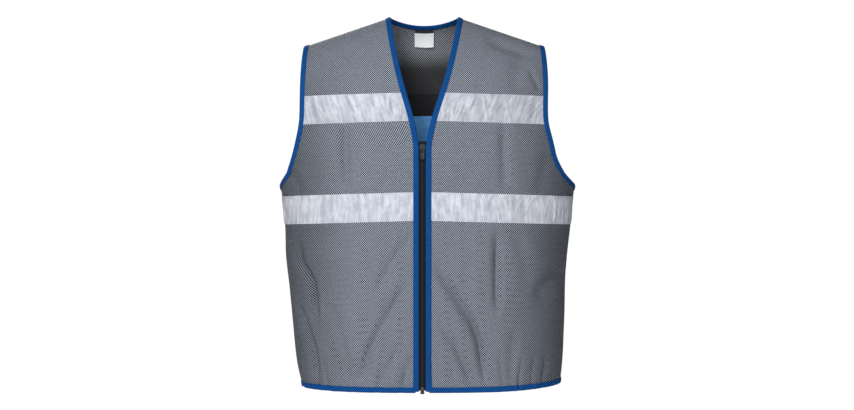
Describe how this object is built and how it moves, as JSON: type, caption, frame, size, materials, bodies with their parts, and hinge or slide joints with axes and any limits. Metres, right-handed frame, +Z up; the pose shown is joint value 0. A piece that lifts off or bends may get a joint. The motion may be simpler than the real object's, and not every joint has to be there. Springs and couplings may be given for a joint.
{
  "type": "sleeveless zip-front cooling vest of mesh cloth with reflective tapes",
  "caption": "Sleeveless mesh cooling vest with a V neckline, a front zip, bound edges, reflective tapes round chest and waist, and a blue absorbent lining inside the back.",
  "frame": {"origin": "the seat: midway between the two shoulder peaks, at the height of the cloth's underside there", "axes": "+Z up along the body, +X to the wearer's left, the front of the vest faces -Y"},
  "size_m": [0.5368, 0.2597, 0.672],
  "materials": {
    "mesh_cloth": "matte open mesh",
    "reflective_tape": "satin, silvery",
    "binding": "matte royal blue",
    "lining": "matte heathered blue",
    "dark_cloth": "matte black",
    "label": "satin white",
    "zip_cloth": "matte black",
    "zip_nylon": "satin dark grey",
    "black_metal": "semi-gloss black",
    "dark_metal": "satin dark brown"
  },
  "bodies": {
    "vest": {"front_panel_right": "mesh_cloth", "front_panel_left": "mesh_cloth", "back_panel": "mesh_cloth", "chest_tape_right": "reflective_tape", "chest_tape_left": "reflective_tape", "chest_tape_back": "reflective_tape", "waist_tape_right": "reflective_tape", "waist_tape_left": "reflective_tape", "waist_tape_back": "reflective_tape", "armhole_binding_right": "binding", "armhole_binding_left": "binding", "neck_binding": "binding", "hem_binding": "binding", "back_lining": "lining", "lining_band": "dark_cloth", "label_tab": "dark_cloth", "neck_label": "label", "zip_tape_right": "zip_cloth", "zip_tape_left": "zip_cloth", "zip_chain": "zip_nylon", "zip_slider": "black_metal", "zip_box": "dark_metal"},
    "zip_pull": {"zip_pull": "black_metal"}
  },
  "joints": [
    {"name": "zip_pull_swing", "type": "hinge", "parent": "vest", "child": "zip_pull", "pos_m": [-0.003, -0.13278, -0.2385], "axis": [-1, 0, 0], "range_deg": [0, 175]}
  ]
}
